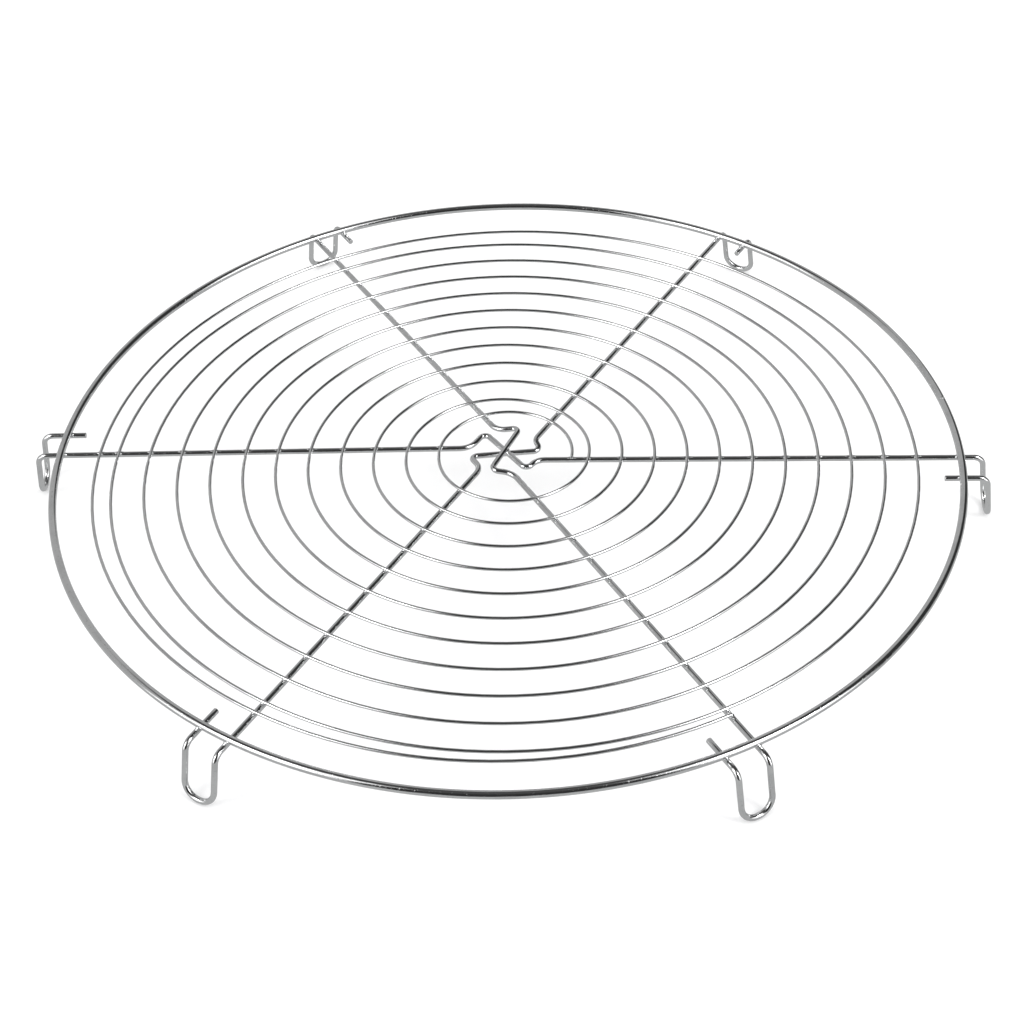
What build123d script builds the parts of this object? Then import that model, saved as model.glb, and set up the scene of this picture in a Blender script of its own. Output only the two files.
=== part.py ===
# Round wire cooling rack: a spiral of thin wire and a rim ring, both welded on top of
# three support wires. Each support wire runs from foot to foot through the middle.
# Millimetres, +Z up. The origin is on the surface the rack stands on, under the rim's centre.
import os
from math import asin, cos, pi, radians, sin, tan

from build123d import *

# Wire thicknesses (diameters)
rim_wire = 2.7
support_wire = 2.0
spiral_wire = 1.1

# Rim, outside diameter
rim_outer_diameter = 320.0

# Height, from the axis of a support wire down to the axis of a foot's lowest wire
foot_drop = 18.3

# How deep each resistance weld lets the upper wire into the wire below it
rim_weld_depth = 0.2
spiral_weld_depth = 0.15
hub_weld_depth = 0.9

# Directions of the three support wires, from the top of the crossing to the bottom
support_directions = {"upper": 120.0, "middle": 0.0, "lower": 60.0}

# How far each half of a support wire lies to the clockwise side of its line from the centre
support_offset = 3.6

# The crossing: where it lies from the rim's centre, the sharp apex's distance from it and
# angle, clockwise of the outward direction, and the slope of the run back to the straight part
hub_shift = (-0.4, 2.0)
hub_reach = 12.8
hub_apex_angle = 54.0
hub_return_angle = 58.0
hub_apex_radius = 2.0
hub_knee_radius = 6.5
knee_share = 0.92

# Feet: a bend outside the rim, a U in a plane that leans outwards, and a stub back inside
foot_overhang = 7.0
foot_width = 11.2
foot_lean = 3.6
foot_shoulder_radius = 3.6
foot_corner_radius = 5.4
stub_inside_rim = 7.5

# The halves are bent by hand, so they differ a little. By the direction of the half: degrees
# turned clockwise, then millimetres added to the offset, overhang, lean and stub.
half_differences = {
    0.0: (0.75, -0.65, 1.0, -1.1, -0.8),
    60.0: (0.2, 0.9, -1.1, 1.0, -1.8),
    120.0: (-1.05, 0.3, -0.6, 0.7, -0.3),
    180.0: (-0.3, 0.35, 1.8, -1.9, -0.9),
    240.0: (0.0, 0.5, -0.6, 0.9, 1.7),
    300.0: (-0.15, -0.4, -0.9, 0.4, 2.1),
}

# Spiral, seen from above it grows anticlockwise. It starts on the support half at direction 0
# and ends on the one at spiral_end_angle, after that many whole turns, its axis that far inside
# the rim's. The holds are the parts of a turn at each end that keep their radius, and the ease is
# how gently the growth sets in.
spiral_inner_radius = 23.2
spiral_rim_gap = 14.85
spiral_whole_turns = 11
spiral_end_angle = 300.0
spiral_inner_hold = 0.4
spiral_outer_hold = 0.85
spiral_ease = 0.2
spiral_shift = (-0.2, -2.2)
spiral_oval = 0.9
arcs_per_turn = 12

# Worked out from the values above
rim_radius = (rim_outer_diameter - rim_wire) / 2
support_height = support_wire / 2 + foot_drop
rim_height = support_height + (support_wire + rim_wire) / 2 - rim_weld_depth
spiral_height = support_height + (support_wire + spiral_wire) / 2 - spiral_weld_depth
hub_step = support_wire - hub_weld_depth
spiral_outer_radius = rim_radius - spiral_rim_gap


def half_line(direction):
    """The straight part of one half: its real direction and its offset from the centre."""
    turned, aside = half_differences[direction][:2]
    return direction - turned, support_offset + aside


def half_support(direction, hub_level):
    """One half, from the hub apex to the stub's end: corner points and the radii at them.
    u is the distance outwards from the rim's centre, v the distance to the clockwise side."""
    line_direction, offset = half_line(direction)
    out = (cos(radians(line_direction)), sin(radians(line_direction)))
    side = (out[1], -out[0])
    reach_direction = radians(direction - hub_apex_angle)
    apex_x = hub_shift[0] + hub_reach * cos(reach_direction)
    apex_y = hub_shift[1] + hub_reach * sin(reach_direction)
    apex_u = apex_x * out[0] + apex_y * out[1]
    apex_v = apex_x * side[0] + apex_y * side[1]
    knee_u = apex_u + (apex_v - offset) / tan(radians(hub_return_angle))
    overhang, lean, stub = half_differences[direction][2:]
    leg = rim_radius + foot_overhang + overhang
    toe = leg + foot_lean + lean
    stub_end = rim_radius - stub_inside_rim - stub
    far_v = offset + foot_width
    low = support_height - foot_drop
    corners = [
        (apex_u, apex_v, support_height + hub_level),
        (knee_u, offset, support_height),
        (leg, offset, support_height),
        (toe, offset, low),
        (toe, far_v, low),
        (leg, far_v, support_height),
        (stub_end, far_v, support_height),
    ]
    # The knee's arc takes what the apex's arc leaves of the short run between them
    run = (apex_v - offset) / sin(radians(hub_return_angle))
    left = run - hub_apex_radius * tan(radians(hub_apex_angle + hub_return_angle) / 2)
    knee_limit = knee_share * left / tan(radians(hub_return_angle) / 2)
    radii = [
        hub_apex_radius,
        min(hub_knee_radius, knee_limit),
        foot_shoulder_radius,
        foot_corner_radius,
        foot_corner_radius,
        foot_shoulder_radius,
    ]
    return [(u * out[0] + v * side[0], u * out[1] + v * side[1], z) for u, v, z in corners], radii


def support_path(direction, hub_level):
    """Centre line of a whole support wire, straight runs joined by tangent arcs."""
    first, first_radii = half_support(direction + 180, hub_level)
    second, second_radii = half_support(direction, hub_level)
    return FilletPolyline(*first[::-1], *second, radius=first_radii[::-1] + second_radii)


def spiral_growth(turn):
    """How many pitches the spiral has grown by, at a turn counted from angle 0."""
    def eased(past):
        if past <= 0:
            return 0
        if past < spiral_ease:
            return past * past / (2 * spiral_ease)
        return past - spiral_ease / 2

    return eased(turn - spiral_inner_hold) - eased(turn - spiral_last_turn + spiral_outer_hold)


def spiral_point(turn):
    """The spiral's centre line: an even pitch, a little oval and off centre further out."""
    angle = 2 * pi * turn
    share = turn / (turn + 1)
    uneven = (
        spiral_shift[0] * cos(angle)
        + spiral_shift[1] * sin(angle)
        + spiral_oval * cos(2 * angle)
    )
    radius = spiral_inner_radius + spiral_pitch * spiral_growth(turn) + share * uneven
    return Vector(radius * cos(angle), radius * sin(angle), spiral_height)


def turn_on_half(direction, radius):
    """The part of a turn at which a circle of that radius meets a support half's line."""
    line_direction, offset = half_line(direction)
    return line_direction / 360 - asin(offset / radius) / (2 * pi)


spiral_first_turn = turn_on_half(0.0, spiral_inner_radius)
spiral_last_turn = spiral_whole_turns + turn_on_half(spiral_end_angle, spiral_outer_radius)
spiral_pitch = (spiral_outer_radius - spiral_inner_radius) / (
    spiral_last_turn - spiral_inner_hold - spiral_outer_hold
)


def spiral_path():
    """Arcs through points of the spiral, each tangent to the one before."""
    length = spiral_last_turn - spiral_first_turn
    count = round(length * arcs_per_turn)
    points = [spiral_point(spiral_first_turn + length * k / count) for k in range(count + 1)]
    heading = spiral_point(spiral_first_turn + 0.001) - points[0]
    arcs = []
    for start, end in zip(points, points[1:]):
        arc = TangentArc(start, end, tangent=heading)
        heading = arc % 1
        arcs.append(arc)
    return Wire(arcs)


def round_wire(path, diameter):
    """Round wire of the given diameter along a path of tangent lines and arcs. Its seam runs
    along the top, so that it passes through every seat and no seat can be missed."""
    start = Plane(origin=path @ 0, x_dir=(0, 0, 1), z_dir=path % 0)
    return sweep(start * Circle(diameter / 2), path=path, clean=False)


def make_rim():
    return Pos(0, 0, rim_height) * Torus(rim_radius, rim_wire / 2)


def make_nodes():
    """Every wire, the lower ones with a seat wherever an upper one is welded into them."""
    rim = make_rim()
    spiral = round_wire(spiral_path(), spiral_wire)
    levels = {"upper": hub_step, "middle": 0, "lower": -hub_step}
    nodes = {"rim_ring": rim, "spiral_wire": spiral}
    above = []
    for name, direction in support_directions.items():
        blank = round_wire(support_path(direction, levels[name]), support_wire)
        seated = blank
        for other in [spiral, rim] + above:
            seated = seated - other
        above.append(blank)
        nodes["support_wire_" + name] = seated
    return nodes


def main():
    os.makedirs("parts", exist_ok=True)
    for name, shape in make_nodes().items():
        shape.label = name
        export_step(shape, os.path.join("parts", name + ".step"))
        print(name, len(shape.solids()), round(shape.volume, 1))


if __name__ == "__main__":
    main()
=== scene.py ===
import math
import random

import bmesh
import bpy
from mathutils import Matrix, Vector, noise


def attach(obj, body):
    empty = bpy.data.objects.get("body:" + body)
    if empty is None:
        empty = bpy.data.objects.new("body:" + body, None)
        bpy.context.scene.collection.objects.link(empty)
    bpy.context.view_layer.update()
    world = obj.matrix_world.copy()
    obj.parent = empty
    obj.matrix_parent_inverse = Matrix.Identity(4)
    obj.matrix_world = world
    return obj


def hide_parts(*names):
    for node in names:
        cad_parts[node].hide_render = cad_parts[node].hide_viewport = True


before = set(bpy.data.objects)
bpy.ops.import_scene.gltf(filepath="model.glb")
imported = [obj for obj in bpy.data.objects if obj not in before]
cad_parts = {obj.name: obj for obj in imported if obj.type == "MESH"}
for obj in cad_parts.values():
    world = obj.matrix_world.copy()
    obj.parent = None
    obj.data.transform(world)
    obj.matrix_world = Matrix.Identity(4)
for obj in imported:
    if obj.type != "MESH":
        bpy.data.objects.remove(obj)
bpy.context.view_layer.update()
mm = 0.001

# Camera, on an arm from a target that lies level with the support wires
cameraSettings = {
    "azimuth": 1.93,
    "elevation": 41.18,
    "roll": -2.04,
    "distance": 670.0 * mm,
    "target": (2.2 * mm, -30.8 * mm, 19.3 * mm),
    "lens": 68.88,
    "sensor": 36.0,
    "clip": (0.05, 50.0),
}


def placeCamera(settings):
    turn, lift = math.radians(settings["azimuth"]), math.radians(settings["elevation"])
    back = Vector((math.sin(turn) * math.cos(lift), -math.cos(turn) * math.cos(lift), math.sin(lift)))
    across = Vector((0, 0, 1)).cross(back).normalized()
    upright = Matrix((across, back.cross(across), back)).transposed()
    roll = Matrix.Rotation(math.radians(settings["roll"]), 3, "Z")
    lensData = bpy.data.cameras.new("camera")
    lensData.lens, lensData.sensor_width = settings["lens"], settings["sensor"]
    lensData.clip_start, lensData.clip_end = settings["clip"]
    camera = bpy.data.objects.new("camera", lensData)
    place = Matrix.Translation(Vector(settings["target"]) + back * settings["distance"])
    camera.matrix_world = place @ (upright @ roll).to_4x4()
    bpy.context.scene.collection.objects.link(camera)
    bpy.context.scene.camera = camera


placeCamera(cameraSettings)
print("camera placed")


# Shader maths: a Shade wraps an output socket, and sums on it add their nodes
class Shade:
    def __init__(self, tree, socket=None):
        self.tree, self.socket = tree, socket

    def node(self, kind, settings={}, sockets={}, output=0):
        made = self.tree.nodes.new("ShaderNode" + kind)
        for name, value in settings.items():
            setattr(made, name, value)
        for name, value in sockets.items():
            if isinstance(value, Shade):
                self.tree.links.new(value.socket, made.inputs[name])
            else:
                made.inputs[name].default_value = value
        return Shade(self.tree, made.outputs[output] if made.outputs else None)

    def sums(self, operation, first, second):
        return self.node("Math", {"operation": operation}, {0: first, 1: second})

    def __add__(self, other):
        return self.sums("ADD", self, other)

    __radd__ = __add__

    def __sub__(self, other):
        return self.sums("SUBTRACT", self, other)

    def __rsub__(self, other):
        return self.sums("SUBTRACT", other, self)

    def __mul__(self, other):
        return self.sums("MULTIPLY", self, other)

    __rmul__ = __mul__

    def ramp(self, low, high, start=0.0, end=1.0):
        return self.node(
            "MapRange",
            {"interpolation_type": "SMOOTHSTEP"},
            {"Value": self, "From Min": low, "From Max": high, "To Min": start, "To Max": end},
        )


def emptyTree(owner):
    owner.use_nodes = True
    owner.node_tree.nodes.clear()
    return Shade(owner.node_tree)


# Plated finish. Lengths are in metres; the pattern follows each wire along its own length
plateSettings = {
    "bright": (0.88, 0.885, 0.89, 1.0),
    "dull": (0.70, 0.705, 0.71, 1.0),
    "roughLow": 0.05,
    "roughHigh": 0.17,
    "cloudScale": 85.0,
    "cloudEdges": (0.42, 0.68),
    "pitScale": 1700.0,
    "pitEdges": (0.60, 0.72),
    "pitDepth": 0.000012,
    "drawnLines": (45.0, 9000.0, 1.0),
    "drawnEdges": (0.45, 0.75),
    "drawnDepth": 0.000012,
    "wobble": (110.0, 500.0, 1.0),
    "wobbleDepth": 0.00006,
    "wear": {"clouds": 0.5, "pits": 0.6, "drawn": 0.25},
    "wearMost": 1.2,
}


def platedMaterial(name, settings, **changes):
    values = {**settings, **changes}
    material = bpy.data.materials.new(name)
    tree = emptyTree(material)
    place = tree.node("TexCoord", output=3)
    along = tree.node("UVMap", {"uv_map": "wire"})
    drawn = tree.node("Mapping", {}, {"Vector": along, "Scale": values["drawnLines"]})
    drawn = tree.node("TexNoise", {}, {"Vector": drawn, "Scale": 1.0, "Detail": 3.0})
    wobble = tree.node("Mapping", {}, {"Vector": along, "Scale": values["wobble"]})
    wobble = tree.node("TexNoise", {}, {"Vector": wobble, "Scale": 1.0, "Detail": 1.0})
    cloud = tree.node("TexNoise", {}, {"Vector": place, "Scale": values["cloudScale"], "Detail": 4.0})
    pits = tree.node("TexNoise", {}, {"Vector": place, "Scale": values["pitScale"], "Detail": 2.0})
    pitMask = pits.ramp(*values["pitEdges"])
    wear = values["wear"]
    worn = cloud.ramp(*values["cloudEdges"]) * wear["clouds"] + pitMask * wear["pits"]
    worn = worn + drawn.ramp(*values["drawnEdges"]) * wear["drawn"]
    colour = tree.node(
        "Mix",
        {"data_type": "RGBA"},
        {"Factor": worn, "A": values["bright"], "B": values["dull"]},
        output=2,
    )
    rough = worn.ramp(0.0, values["wearMost"], values["roughLow"], values["roughHigh"])
    relief = {}
    for height, depth in ((wobble, "wobbleDepth"), (drawn, "drawnDepth"), (1 - pitMask, "pitDepth")):
        raised = {"Height": height, "Distance": values[depth], "Strength": 1.0}
        relief = {"Normal": tree.node("Bump", {}, {**raised, **relief})}
    finish = tree.node(
        "BsdfPrincipled", {}, {"Base Color": colour, "Metallic": 1.0, "Roughness": rough, **relief}
    )
    tree.node("OutputMaterial", {}, {"Surface": finish})
    return material


platedRim = platedMaterial("platedRim", plateSettings)
platedSupport = platedMaterial("platedSupport", plateSettings)
platedSpiral = platedMaterial(
    "platedSpiral", plateSettings, wobble=(160.0, 700.0, 1.0), wobbleDepth=0.00003, pitDepth=0.000006
)
platedWeld = platedMaterial(
    "platedWeld", plateSettings, roughLow=0.14, roughHigh=0.32, pitScale=2600.0
)
print("finishes made")


# Wires. Each is a ring of points, pushed along runs and spun round bends
def openWire(place, heading, radius, sides):
    wire = bmesh.new()
    side = wire.verts.layers.int.new("side")
    along = wire.verts.layers.float.new("along")
    facing = heading.to_track_quat("Z", "Y").to_matrix().to_4x4()
    ring = bmesh.ops.create_circle(
        wire, cap_ends=False, radius=radius, segments=sides, matrix=Matrix.Translation(place) @ facing
    )["verts"]
    for number, vert in enumerate(ring):
        vert[side], vert[along] = number, 0.0
    return wire, ring


def ringEdges(ring):
    inRing = set(ring)
    edges = [edge for vert in ring for edge in vert.link_edges if edge.other_vert(vert) in inRing]
    return list(dict.fromkeys(edges))


def vertsOf(made):
    return [item for item in made if isinstance(item, bmesh.types.BMVert)]


def pushWire(wire, ring, travel, spacing):
    along = wire.verts.layers.float["along"]
    count = max(1, round(travel.length / spacing))
    for _ in range(count):
        ring = vertsOf(bmesh.ops.extrude_edge_only(wire, edges=ringEdges(ring))["geom"])
        bmesh.ops.translate(wire, verts=ring, vec=travel / count)
        for vert in ring:
            vert[along] += travel.length / count
    return ring


def bendWire(wire, ring, start, centre, axis, angle, count):
    along = wire.verts.layers.float["along"]
    before = len(wire.verts)
    last = bmesh.ops.spin(
        wire, geom=list(ring) + ringEdges(ring), cent=centre, axis=axis, angle=angle, steps=count
    )["geom_last"]
    inward = (start - centre).normalized()
    onward = axis.cross(inward)
    for vert in list(wire.verts)[before:]:
        reach = vert.co - centre
        turned = math.atan2(reach.dot(onward), reach.dot(inward))
        vert[along] += turned * (start - centre).length
    return vertsOf(last)


def closeWire(wire, chamfer):
    rims = [edge for edge in wire.edges if edge.is_boundary]
    caps = bmesh.ops.holes_fill(wire, edges=rims, sides=0)["faces"]
    bmesh.ops.bevel(
        wire,
        geom=[edge for cap in caps for edge in cap.edges],
        offset=chamfer,
        affect="EDGES",
        segments=3,
        profile=0.5,
        material=-1,
        clamp_overlap=True,
    )


# The wire's own map: u along it, v round it, both in metres
def mapWire(wire, radius, sides, loopLength=None):
    side = wire.verts.layers.int["side"]
    along = wire.verts.layers.float["along"]
    wireMap = wire.loops.layers.uv.new("wire")
    for face in wire.faces:
        spots = [[loop.vert[along], loop.vert[side]] for loop in face.loops]
        for axis, period in ((0, loopLength), (1, sides)):
            if period and max(s[axis] for s in spots) - min(s[axis] for s in spots) > period / 2:
                for spot in spots:
                    spot[axis] += period if spot[axis] < period / 2 else 0
        for loop, (u, v) in zip(face.loops, spots):
            loop[wireMap].uv = (u, v * 2 * math.pi * radius / sides)
    wire.verts.layers.int.remove(side)
    wire.verts.layers.float.remove(wire.verts.layers.float["along"])


def finishPiece(shape, name, material, node=None):
    bmesh.ops.recalc_face_normals(shape, faces=shape.faces[:])
    for face in shape.faces:
        face.smooth = len(face.verts) < 5
    mesh = bpy.data.meshes.new(name)
    shape.to_mesh(mesh)
    shape.free()
    mesh.materials.append(material)
    piece = bpy.data.objects.new(name, mesh)
    bpy.context.scene.collection.objects.link(piece)
    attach(piece, "root")
    if node:
        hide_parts(node)


# Rim ring
rimSettings = {
    "wire": 2.7 * mm,
    "outside": 320.0 * mm,
    "sides": 28,
    "steps": 360,
    "seamGap": 0.001 * mm,
}
# Support wires. The hub is where they cross, an apex is its sharp bend and a knee its blunt one
supportSettings = {
    "wire": 2.0 * mm,
    "footDrop": 18.3 * mm,
    "offset": 3.6 * mm,
    "directions": {"upper": 120, "middle": 0, "lower": 60},
    "hubShift": Vector((-0.4, 2.0)) * mm,
    "hubReach": 12.8 * mm,
    "hubApexAngle": 54.0,
    "hubReturnAngle": 58.0,
    "hubApexRadius": 2.0 * mm,
    "hubKneeRadius": 6.5 * mm,
    "kneeShare": 0.92,
    "hubStep": {"upper": 1.1 * mm, "middle": 0.0, "lower": -1.1 * mm},
    "overhang": 7.0 * mm,
    "footWidth": 11.2 * mm,
    "footLean": 3.6 * mm,
    "shoulderRadius": 3.6 * mm,
    "cornerRadius": 5.4 * mm,
    "stubInside": 7.5 * mm,
    "sides": 22,
    "spacing": 5.0 * mm,
    "bendStep": math.radians(7.0),
    "fewestSteps": 3,
    "chamfer": 0.16 * mm,
}
# How each half, bent by hand, differs: degrees turned clockwise, then millimetres added to the
# offset, overhang, lean and stub
halfDifferences = {
    0: (0.75, -0.65, 1.0, -1.1, -0.8),
    60: (0.2, 0.9, -1.1, 1.0, -1.8),
    120: (-1.05, 0.3, -0.6, 0.7, -0.3),
    180: (-0.3, 0.35, 1.8, -1.9, -0.9),
    240: (0.0, 0.5, -0.6, 0.9, 1.7),
    300: (-0.15, -0.4, -0.9, 0.4, 2.1),
}
# Spiral wire
spiralSettings = {
    "wire": 1.1 * mm,
    "innerRadius": 23.2 * mm,
    "rimGap": 14.85 * mm,
    "wholeTurns": 11,
    "endDirection": 300,
    "innerHold": 0.4,
    "outerHold": 0.85,
    "ease": 0.2,
    "shift": Vector((-0.2, -2.2)) * mm,
    "oval": 0.9 * mm,
    "arcsPerTurn": 12,
    "aStep": 0.001,
    "sides": 16,
    "arcSteps": 12,
    "chamfer": 0.09 * mm,
}
# How far each weld lets the upper wire into the lower one
weldDepth = {"rim": 0.2 * mm, "spiral": 0.15 * mm}

rimRadius = (rimSettings["outside"] - rimSettings["wire"]) / 2
supportHeight = supportSettings["wire"] / 2 + supportSettings["footDrop"]
rimHeight = supportHeight + (supportSettings["wire"] + rimSettings["wire"]) / 2 - weldDepth["rim"]
spiralHeight = (
    supportHeight + (supportSettings["wire"] + spiralSettings["wire"]) / 2 - weldDepth["spiral"]
)


def makeRim(settings):
    place = Vector((rimRadius, 0, rimHeight))
    rim, ring = openWire(place, Vector((0, 1, 0)), settings["wire"] / 2, settings["sides"])
    bmesh.ops.spin(
        rim,
        geom=list(ring) + ringEdges(ring),
        cent=(0, 0, 0),
        axis=(0, 0, 1),
        angle=2 * math.pi,
        steps=settings["steps"],
        use_merge=True,
    )
    bmesh.ops.remove_doubles(rim, verts=rim.verts[:], dist=settings["seamGap"])
    along = rim.verts.layers.float["along"]
    for vert in rim.verts:
        vert[along] = (math.atan2(vert.co.y, vert.co.x) % (2 * math.pi)) * rimRadius
    mapWire(rim, settings["wire"] / 2, settings["sides"], 2 * math.pi * rimRadius)
    finishPiece(rim, "rimRing", platedRim, "rim_ring")


makeRim(rimSettings)
print("rim made")


def halfLine(direction):
    turned, aside = halfDifferences[direction][:2]
    angle = math.radians(direction - turned)
    out = Vector((math.cos(angle), math.sin(angle)))
    return out, Vector((out.y, -out.x)), supportSettings["offset"] + aside * mm


def supportHalf(settings, direction, step):
    out, side, near = halfLine(direction)
    apexAngle = math.radians(direction - settings["hubApexAngle"])
    apex = Vector((math.cos(apexAngle), math.sin(apexAngle))) * settings["hubReach"]
    apex += settings["hubShift"]
    slope = math.radians(settings["hubReturnAngle"])
    far, rise = near + settings["footWidth"], apex.dot(side) - near
    overhang, lean, stub = (change * mm for change in halfDifferences[direction][2:])
    leg = rimRadius + settings["overhang"] + overhang
    toe = leg + settings["footLean"] + lean
    level, low = supportHeight, supportHeight - settings["footDrop"]
    corners = (
        (apex.dot(out), apex.dot(side), level + step),
        (apex.dot(out) + rise / math.tan(slope), near, level),
        (leg, near, level),
        (toe, near, low),
        (toe, far, low),
        (leg, far, level),
        (rimRadius - settings["stubInside"] - stub, far, level),
    )
    # The knee's arc takes what the apex's arc leaves of the short run between them
    apexTurn = math.radians(settings["hubApexAngle"]) + slope
    left = rise / math.sin(slope) - settings["hubApexRadius"] * math.tan(apexTurn / 2)
    knee = min(settings["hubKneeRadius"], settings["kneeShare"] * left / math.tan(slope / 2))
    radii = [settings["hubApexRadius"], knee, settings["shoulderRadius"]]
    radii += [settings["cornerRadius"], settings["cornerRadius"], settings["shoulderRadius"]]
    return [(u * out + v * side).to_3d() + Vector((0, 0, z)) for u, v, z in corners], radii


def makeSupport(settings, which):
    direction, step = settings["directions"][which], settings["hubStep"][which]
    first, firstRadii = supportHalf(settings, direction + 180, step)
    second, secondRadii = supportHalf(settings, direction, step)
    corners, radii = first[::-1] + second, firstRadii[::-1] + secondRadii
    here = corners[0]
    wire, ring = openWire(
        here, (corners[1] - here).normalized(), settings["wire"] / 2, settings["sides"]
    )
    for before, corner, after, radius in zip(corners, corners[1:], corners[2:], radii):
        inward, outward = (corner - before).normalized(), (after - corner).normalized()
        turn = inward.angle(outward)
        cut = radius * math.tan(turn / 2)
        axis = inward.cross(outward).normalized()
        start = corner - inward * cut
        ring = pushWire(wire, ring, start - here, settings["spacing"])
        centre = start + axis.cross(inward) * radius
        count = max(settings["fewestSteps"], round(turn / settings["bendStep"]))
        ring = bendWire(wire, ring, start, centre, axis, turn, count)
        here = corner + outward * cut
    ring = pushWire(wire, ring, corners[-1] - here, settings["spacing"])
    mapWire(wire, settings["wire"] / 2, settings["sides"])
    closeWire(wire, settings["chamfer"])
    finishPiece(wire, "support" + which.capitalize(), platedSupport, "support_wire_" + which)


for which in supportSettings["directions"]:
    makeSupport(supportSettings, which)
print("support wires made")


# The part of a turn at which a circle of that radius meets a support half's line
def turnOnHalf(direction, radius):
    offset = halfLine(direction)[2]
    lineDirection = direction - halfDifferences[direction][0]
    return lineDirection / 360 - math.asin(offset / radius) / (2 * math.pi)


def spiralEnds(settings):
    outer = rimRadius - settings["rimGap"]
    first = turnOnHalf(0, settings["innerRadius"])
    return first, settings["wholeTurns"] + turnOnHalf(settings["endDirection"], outer)


def spiralPoint(settings, turn):
    last = spiralEnds(settings)[1]
    grown = rimRadius - settings["rimGap"] - settings["innerRadius"]
    pitch = grown / (last - settings["innerHold"] - settings["outerHold"])

    def eased(past):
        if past <= 0:
            return 0
        if past < settings["ease"]:
            return past * past / (2 * settings["ease"])
        return past - settings["ease"] / 2

    growth = eased(turn - settings["innerHold"]) - eased(turn - last + settings["outerHold"])
    angle = 2 * math.pi * turn
    out = Vector((math.cos(angle), math.sin(angle)))
    uneven = settings["shift"].dot(out) + settings["oval"] * math.cos(2 * angle)
    radius = settings["innerRadius"] + pitch * growth + turn / (turn + 1) * uneven
    return (radius * out).to_3d() + Vector((0, 0, spiralHeight))


def makeSpiral(settings):
    first, last = spiralEnds(settings)
    count = round((last - first) * settings["arcsPerTurn"])
    here = spiralPoint(settings, first)
    heading = (spiralPoint(settings, first + settings["aStep"]) - here).normalized()
    wire, ring = openWire(here, heading, settings["wire"] / 2, settings["sides"])
    upward = Vector((0, 0, 1))
    for number in range(1, count + 1):
        there = spiralPoint(settings, first + (last - first) * number / count)
        chord = there - here
        inside = upward.cross(heading)
        radius = chord.length_squared / (2 * chord.dot(inside))
        turn = 2 * math.asin(chord.length / (2 * radius))
        ring = bendWire(wire, ring, here, here + inside * radius, upward, turn, settings["arcSteps"])
        heading = Matrix.Rotation(turn, 3, "Z") @ heading
        here = there
    mapWire(wire, settings["wire"] / 2, settings["sides"])
    closeWire(wire, settings["chamfer"])
    finishPiece(wire, "spiralWire", platedSpiral, "spiral_wire")


makeSpiral(spiralSettings)
print("spiral made")

# Weld metal squeezed out where the wires cross, and the long flat that the electrode presses
# beside each spiral crossing. Half sizes: along the support wire, across it, up
weldSettings = {
    "seed": 7,
    "spiral": {"size": Vector((0.74, 0.74, 0.30)) * mm, "rows": 8, "columns": 14},
    "pressed": {"size": Vector((2.0, 0.58, 0.20)) * mm, "rows": 8, "columns": 14},
    "rim": {"size": Vector((1.25, 1.25, 0.42)) * mm, "rows": 10, "columns": 18},
    "hub": {"size": Vector((1.35, 1.35, 0.50)) * mm, "rows": 10, "columns": 18},
    "hubTurn": math.radians(30.0),
    "butt": {"size": Vector((1.15, 1.45, 1.45)) * mm, "rows": 16, "columns": 24},
    "buttAngle": math.radians(9.0),
    "uneven": 0.16,
    "lumpDepth": 0.10,
    "lumpScale": 1.7,
    "lumpSpread": 900.0,
    "closingSteps": 4,
    "endSlack": 0.001,
}
chance = random.Random(weldSettings["seed"])


def addWeld(shape, place, turn, settings, kind):
    weld = settings[kind]
    verts = bmesh.ops.create_uvsphere(
        shape, u_segments=weld["columns"], v_segments=weld["rows"], radius=1.0
    )["verts"]
    spread = [size * (1 + settings["uneven"] * chance.uniform(-1, 1)) for size in weld["size"]]
    for vert in verts:
        lump = noise.noise(vert.co * settings["lumpScale"] + place * settings["lumpSpread"])
        vert.co *= 1 + settings["lumpDepth"] * lump
    bmesh.ops.scale(shape, verts=verts, vec=spread)
    bmesh.ops.rotate(shape, verts=verts, cent=(0, 0, 0), matrix=Matrix.Rotation(turn, 3, "Z"))
    bmesh.ops.translate(shape, verts=verts, vec=place)


def mapWeld(shape):
    wireMap = shape.loops.layers.uv.new("wire")
    for face in shape.faces:
        for loop in face.loops:
            loop[wireMap].uv = (loop.vert.co.x + loop.vert.co.z, loop.vert.co.y)


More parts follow.
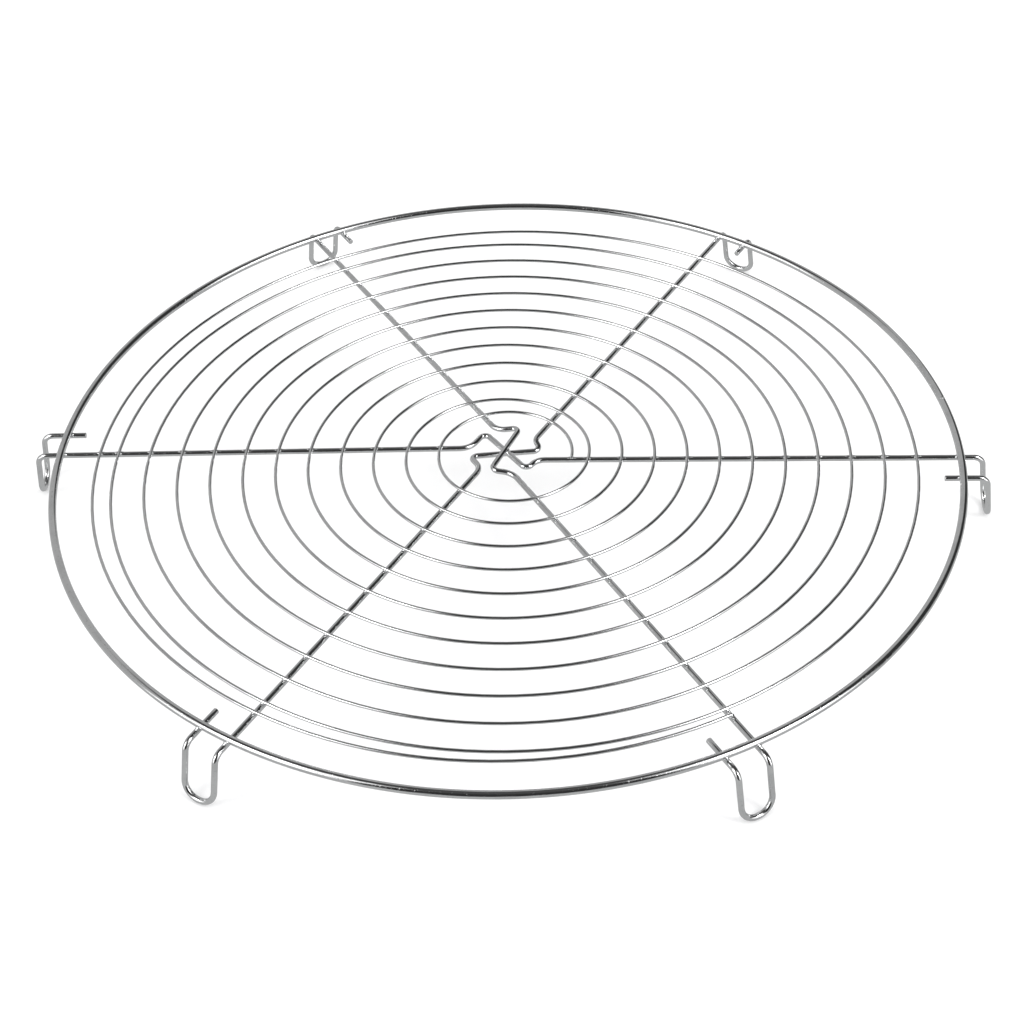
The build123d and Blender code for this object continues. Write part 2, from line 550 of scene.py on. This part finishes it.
def makeWelds(settings):
    spiralWelds, frameWelds = bmesh.new(), bmesh.new()
    first, last = spiralEnds(spiralSettings)
    slack = settings["endSlack"]
    seat = supportHeight + supportSettings["wire"] / 2
    for direction in halfDifferences:
        out, side, offset = halfLine(direction)
        turn = math.radians(direction)
        # The spiral crosses this half once a turn: a few steps close in on each crossing
        for whole in range(spiralSettings["wholeTurns"] + 2):
            when = whole + direction / 360
            for _ in range(settings["closingSteps"]):
                radius = spiralPoint(spiralSettings, max(when, first)).to_2d().length
                when = whole + turnOnHalf(direction, radius)
            if when < first - slack or when > last + slack:
                continue
            spot = spiralPoint(spiralSettings, when)
            spot.z = seat - weldDepth["spiral"] / 2
            addWeld(spiralWelds, spot, turn, settings, "spiral")
            addWeld(spiralWelds, spot, turn, settings, "pressed")
        for beside in (offset, offset + supportSettings["footWidth"]):
            reach = math.sqrt(rimRadius**2 - beside**2)
            spot = (reach * out + beside * side).to_3d()
            spot.z = seat - weldDepth["rim"] / 2
            addWeld(frameWelds, spot, turn, settings, "rim")
    for level in (-1, 1):
        spot = supportSettings["hubShift"].to_3d()
        spot.z = supportHeight + level * supportSettings["hubStep"]["upper"] / 2
        addWeld(frameWelds, spot, settings["hubTurn"], settings, "hub")
    angle = settings["buttAngle"]
    spot = Vector((math.cos(angle) * rimRadius, math.sin(angle) * rimRadius, rimHeight))
    addWeld(frameWelds, spot, angle + math.pi / 2, settings, "butt")
    for shape, name in ((spiralWelds, "spiralWelds"), (frameWelds, "frameWelds")):
        mapWeld(shape)
        finishPiece(shape, name, platedWeld)


makeWelds(weldSettings)
print("welds made")

# Floor and surroundings. What the wires mirror is set apart from what lights the floor
studioSettings = {
    "floorSize": 6.0,
    "floorTone": (0.95, 0.95, 0.95, 1.0),
    "floorShade": (0.925, 0.925, 0.93, 1.0),
    "floorPatchScale": 3.0,
    "floorPatchEdges": (0.3, 0.7),
    "floorRough": 0.9,
    "floorGloss": 0.1,
    "floorMirrored": (0.45, 0.455, 0.455, 1.0),
    "surround": 1.1,
    "dark": 0.03,
    "overhead": 0.07,
    "overheadFrom": 0.75,
    "panelSoft": 0.06,
}


def makeFloor(settings):
    shape = bmesh.new()
    bmesh.ops.create_grid(shape, x_segments=2, y_segments=2, size=settings["floorSize"] / 2)
    mesh = bpy.data.meshes.new("floor")
    shape.to_mesh(mesh)
    shape.free()
    material = bpy.data.materials.new("paleFloor")
    tree = emptyTree(material)
    place = tree.node("TexCoord", output=3)
    patches = tree.node(
        "TexNoise", {}, {"Vector": place, "Scale": settings["floorPatchScale"], "Detail": 2.0}
    )
    patches = patches.ramp(*settings["floorPatchEdges"])
    colour = tree.node(
        "Mix",
        {"data_type": "RGBA"},
        {"Factor": patches, "A": settings["floorTone"], "B": settings["floorShade"]},
        output=2,
    )
    finish = tree.node(
        "BsdfPrincipled",
        {},
        {
            "Base Color": colour,
            "Roughness": settings["floorRough"],
            "Specular IOR Level": settings["floorGloss"],
        },
    )
    mirrored = tree.node("LightPath", output=3)
    seenInWire = tree.node("Emission", {}, {"Color": settings["floorMirrored"], "Strength": 1.0})
    surface = tree.node("MixShader", {}, {0: mirrored, 1: finish, 2: seenInWire})
    tree.node("OutputMaterial", {}, {"Surface": surface})
    mesh.materials.append(material)
    floor = bpy.data.objects.new("floor", mesh)
    bpy.context.scene.collection.objects.link(floor)


makeFloor(studioSettings)


# Soft panels that the polished wires mirror: azimuth from +X, half width in its middle and to
# its edge, lowest and highest elevation, all in degrees, and how bright
panels = {
    "right": (-29, 15, 24, -6, 66, 1.5),
    "left": (211, 18, 28, -6, 60, 1.4),
    "backLeft": (126, 55, 66, -8, 50, 0.36),
}


def makeSurroundings(settings, panels):
    world = bpy.data.worlds.new("studio")
    bpy.context.scene.world = world
    tree = emptyTree(world)
    towards = tree.node("TexCoord", output=0)
    height = tree.node("SeparateXYZ", {}, {"Vector": towards}, output=2)
    level = tree.node("VectorMath", {"operation": "MULTIPLY"}, {0: towards, 1: (1, 1, 0)})
    level = tree.node("VectorMath", {"operation": "NORMALIZE"}, {0: level})
    soft = settings["panelSoft"]
    glow = height.ramp(settings["overheadFrom"], 1.0, settings["dark"], settings["overhead"])
    for azimuth, middle, edge, low, high, bright in panels.values():
        turn = math.radians(azimuth)
        facing = tree.node(
            "VectorMath",
            {"operation": "DOT_PRODUCT"},
            {0: level, 1: (math.cos(turn), math.sin(turn), 0)},
            output=1,
        )
        across = facing.ramp(math.cos(math.radians(edge)), math.cos(math.radians(middle)))
        bottom, top = math.sin(math.radians(low)), math.sin(math.radians(high))
        upward = height.ramp(bottom - soft, bottom + soft) - height.ramp(top - soft, top + soft)
        glow = glow + across * upward * bright
    mirrored = tree.node("LightPath", output=3)
    tone = mirrored * glow + (1 - mirrored) * settings["surround"]
    light = tree.node("Background", {}, {"Color": (1, 1, 1, 1), "Strength": tone})
    tree.node("OutputWorld", {}, {"Surface": light})


makeSurroundings(studioSettings, panels)

# Lamps, which all face the rim's centre
lampSettings = {
    "lampRight": {"from": (1.20, -0.67, 1.15), "size": 0.6, "power": 7.0},
    "lampLeft": {"from": (-1.22, -0.73, 1.05), "size": 0.6, "power": 5.0},
}


def makeLamps(settings):
    for name, lamp in settings.items():
        data = bpy.data.lights.new(name, "AREA")
        data.shape, data.size, data.energy = "DISK", lamp["size"], lamp["power"]
        place = Vector(lamp["from"])
        facing = place.to_track_quat("Z", "Y").to_matrix().to_4x4()
        item = bpy.data.objects.new(name, data)
        item.matrix_world = Matrix.Translation(place) @ facing
        bpy.context.scene.collection.objects.link(item)


makeLamps(lampSettings)
bpy.context.scene.view_settings.view_transform = "Standard"
print("studio made")
